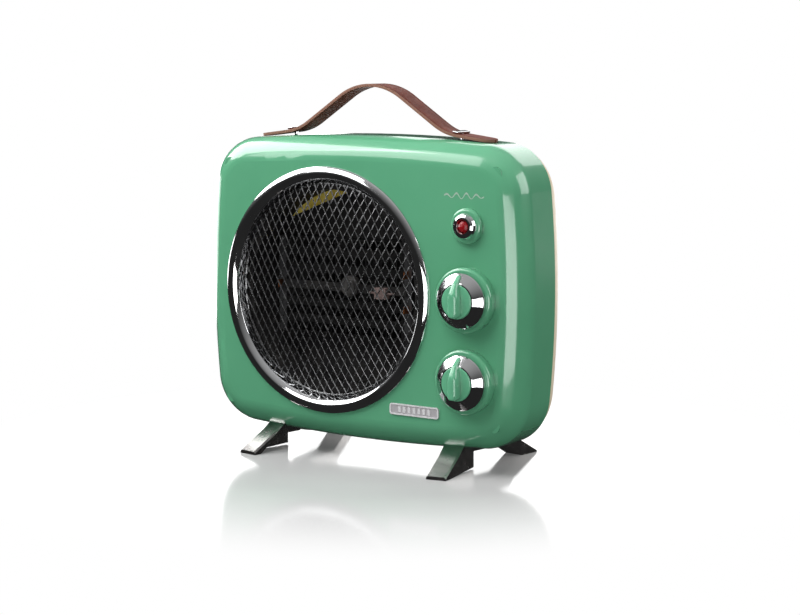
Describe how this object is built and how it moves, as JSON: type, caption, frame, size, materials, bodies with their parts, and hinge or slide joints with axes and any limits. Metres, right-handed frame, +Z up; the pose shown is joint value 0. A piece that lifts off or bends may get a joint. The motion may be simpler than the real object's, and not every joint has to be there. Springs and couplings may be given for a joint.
{
  "type": "ceramic fan heater",
  "caption": "Free-standing ceramic fan heater in a rounded radio-like case with a round wire grille, two knobs, an indicator lamp, splayed feet and a strap handle.",
  "frame": {"origin": "centre of the footprint on the floor, under the middle of the whole object", "axes": "+Z up, +X to the right seen from the front, front faces -Y"},
  "size_m": [0.308, 0.1444, 0.3026],
  "materials": {
    "aluminium": "darkened aluminium",
    "black_metal": "heat-proof black paint",
    "black_plastic": "black moulding",
    "brass_metal": "plain brass",
    "bright_chrome": "mirror plated",
    "brown_leather": "smooth saddle leather",
    "ceramic_dark": "dark ceramic",
    "clear_glass": "clear bulb",
    "copper": "enamelled copper winding",
    "cream_plastic": "satin cream moulding",
    "green_enamel": "glossy green enamel",
    "mica": "golden mica sheet",
    "red_lens": "red translucent lens",
    "silver_plate": "brushed plate",
    "steel": "plain sheet and turned steel",
    "white_plastic": "white insulating moulding"
  },
  "bodies": {
    "casing": {"air_duct": "black_plastic", "badge": "silver_plate", "bearing_bushes": "brass_metal", "bracket_screws": "steel", "bushing_nuts": "brass_metal", "cable_gland": "black_plastic", "ceramic_elements": "ceramic_dark", "clip_nuts": "steel", "coil_former": "white_plastic", "control_bracket": "steel", "cover_screws": "steel", "cup_screws": "steel", "element_terminals": "brass_metal", "foot_front_left": "bright_chrome", "foot_front_right": "bright_chrome", "foot_rear_left": "bright_chrome", "foot_rear_right": "bright_chrome", "foot_screws": "steel", "front_housing": "green_enamel", "grille_bezel": "bright_chrome", "grille_mesh": "steel", "grille_retainer": "steel", "handle_strap": "brown_leather", "heater_baffle": "black_metal", "heater_cup": "black_metal", "heater_end_left": "black_plastic", "heater_end_right": "black_plastic", "heater_fins": "aluminium", "indicator_bezel": "bright_chrome", "indicator_lens": "red_lens", "lamp_holder": "black_plastic", "mica_board": "mica", "mode_switch": "black_plastic", "motor_coil": "copper", "motor_mount": "steel", "motor_stack": "steel", "neon_lamp": "clear_glass", "rear_bridge": "steel", "rear_cover": "cream_plastic", "sensor_bracket": "steel", "strap_clip_left": "bright_chrome", "strap_clip_right": "bright_chrome", "terminal_block": "white_plastic", "thermal_cutout": "steel", "thermal_fuse": "copper", "thermostat": "white_plastic", "tilt_switch": "black_plastic"},
    "fan": {"fan_impeller": "black_plastic", "fan_clip": "steel", "motor_shaft": "steel", "motor_rotor": "steel"},
    "mode_knob": {"mode_knob_skirt": "bright_chrome", "mode_knob_cap": "green_enamel", "mode_spindle": "steel"},
    "thermostat_knob": {"thermostat_knob_skirt": "bright_chrome", "thermostat_knob_cap": "green_enamel", "thermostat_spindle": "steel"}
  },
  "joints": [
    {"name": "fan_spin", "type": "hinge", "parent": "casing", "child": "fan", "pos_m": [-0.03, 0.0155, 0.137], "axis": [0, 1, 0], "continuous": true},
    {"name": "mode_turn", "type": "hinge", "parent": "casing", "child": "mode_knob", "pos_m": [0.105, -0.0405, 0.1385], "axis": [0, 1, 0], "range_deg": [0, 135]},
    {"name": "thermostat_turn", "type": "hinge", "parent": "casing", "child": "thermostat_knob", "pos_m": [0.105, -0.0405, 0.075], "axis": [0, 1, 0], "range_deg": [-140, 140]}
  ]
}
